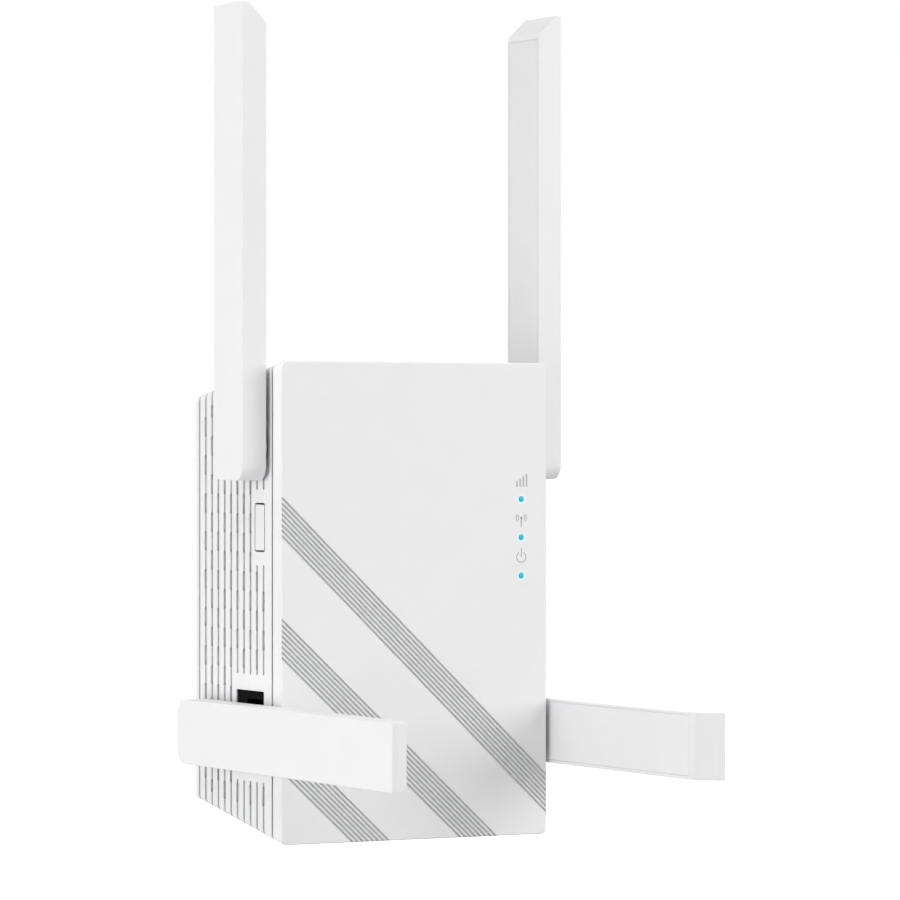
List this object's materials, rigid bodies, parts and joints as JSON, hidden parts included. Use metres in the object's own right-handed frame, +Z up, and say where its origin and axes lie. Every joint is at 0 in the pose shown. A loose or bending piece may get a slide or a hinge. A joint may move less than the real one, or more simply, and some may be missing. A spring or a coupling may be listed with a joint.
{
  "type": "wifi range extender",
  "caption": "Plug-in wireless repeater: grooved box with flat front cover, folding paddle antennas on side hinges, side push button, network socket and rear plug blades.",
  "frame": {"origin": "midway between the two plug blades, on the plane of the rear face", "axes": "+Y into the wall, out of the rear face; +Z up; +X to the right as seen from the front"},
  "size_m": [0.0748, 0.1198, 0.1724],
  "materials": {
    "cover_plastic": "fine matte moulded ABS",
    "housing_plastic": "fine matte moulded ABS",
    "button_plastic": "fine matte moulded ABS",
    "paddle_plastic": "fine matte moulded ABS",
    "black_plastic": "black glass-filled plastic",
    "steel": "zinc-plated steel",
    "blade_tin": "nickel-plated brass, drawn along the blade",
    "shield_tin": "pressed tin plate",
    "spring_brass": "phosphor bronze strip",
    "contact_gold": "gold-flashed wire",
    "circuit_board": "solder mask over glass-epoxy board",
    "radiator_board": "bare glass-epoxy strip with copper",
    "ferrite": "ferrite core with tape",
    "capacitor_sleeve": "shrink sleeve",
    "fuse_glass": "ceramic tube with plated caps",
    "wire_sleeve": "wire insulation",
    "silicone": "soft silicone pad",
    "aluminium": "extruded aluminium",
    "nylon": "natural nylon",
    "lamp": "lit blue lamp",
    "light_guide": "clear plastic lit in blue"
  },
  "bodies": {
    "case": {"antenna_cable_lower_left": "wire_sleeve", "antenna_cable_lower_right": "wire_sleeve", "antenna_cable_upper_left": "wire_sleeve", "antenna_cable_upper_right": "wire_sleeve", "blade_contact_left": "spring_brass", "blade_contact_right": "spring_brass", "ethernet_jack": "black_plastic", "front_cover": "cover_plastic", "heat_sink": "aluminium", "housing_screw_1": "steel", "housing_screw_2": "steel", "housing_screw_3": "steel", "housing_screw_4": "steel", "input_capacitor_left": "capacitor_sleeve", "input_capacitor_right": "capacitor_sleeve", "jack_contacts": "contact_gold", "jack_shield": "shield_tin", "led_power": "lamp", "led_signal": "lamp", "led_wireless": "lamp", "light_pipe": "light_guide", "main_board": "circuit_board", "main_housing": "housing_plastic", "mains_choke": "ferrite", "mains_fuse": "fuse_glass", "mains_rectifier": "black_plastic", "output_capacitor": "capacitor_sleeve", "plug_blade_left": "blade_tin", "plug_blade_right": "blade_tin", "plug_carrier": "housing_plastic", "power_board": "circuit_board", "power_lead": "wire_sleeve", "processor_chip": "black_plastic", "rf_shield_lower": "shield_tin", "rf_shield_upper": "shield_tin", "tact_switch": "black_plastic", "thermal_pad": "silicone", "transformer": "ferrite"},
    "antenna_upper_left": {"antenna_shell_upper_left": "paddle_plastic", "antenna_cover_upper_left": "paddle_plastic", "antenna_radiator_upper_left": "radiator_board", "antenna_hub_upper_left": "nylon", "antenna_clip_upper_left": "steel"},
    "antenna_upper_right": {"antenna_shell_upper_right": "paddle_plastic", "antenna_cover_upper_right": "paddle_plastic", "antenna_radiator_upper_right": "radiator_board", "antenna_hub_upper_right": "nylon", "antenna_clip_upper_right": "steel"},
    "antenna_lower_left": {"antenna_shell_lower_left": "paddle_plastic", "antenna_cover_lower_left": "paddle_plastic", "antenna_radiator_lower_left": "radiator_board", "antenna_hub_lower_left": "nylon", "antenna_clip_lower_left": "steel"},
    "antenna_lower_right": {"antenna_shell_lower_right": "paddle_plastic", "antenna_cover_lower_right": "paddle_plastic", "antenna_radiator_lower_right": "radiator_board", "antenna_hub_lower_right": "nylon", "antenna_clip_lower_right": "steel"},
    "button": {"side_button": "button_plastic", "switch_plunger": "black_plastic"}
  },
  "joints": [
    {"name": "antenna_upper_left_hinge", "type": "hinge", "parent": "case", "child": "antenna_upper_left", "pos_m": [-0.031, -0.0296, 0.00725], "axis": [1, 0, 0], "range_deg": [0, 90]},
    {"name": "antenna_upper_right_hinge", "type": "hinge", "parent": "case", "child": "antenna_upper_right", "pos_m": [0.031, -0.0296, 0.00725], "axis": [1, 0, 0], "range_deg": [0, 90]},
    {"name": "antenna_lower_left_hinge", "type": "hinge", "parent": "case", "child": "antenna_lower_left", "pos_m": [-0.031, -0.01155, -0.0523], "axis": [1, 0, 0], "range_deg": [-30, 90]},
    {"name": "antenna_lower_right_hinge", "type": "hinge", "parent": "case", "child": "antenna_lower_right", "pos_m": [0.031, -0.01155, -0.0523], "axis": [1, 0, 0], "range_deg": [-30, 90]},
    {"name": "button_press", "type": "slide", "parent": "case", "child": "button", "axis": [1, 0, 0], "range_m": [0, 0.0005], "stiffness_N_per_m": 100}
  ]
}
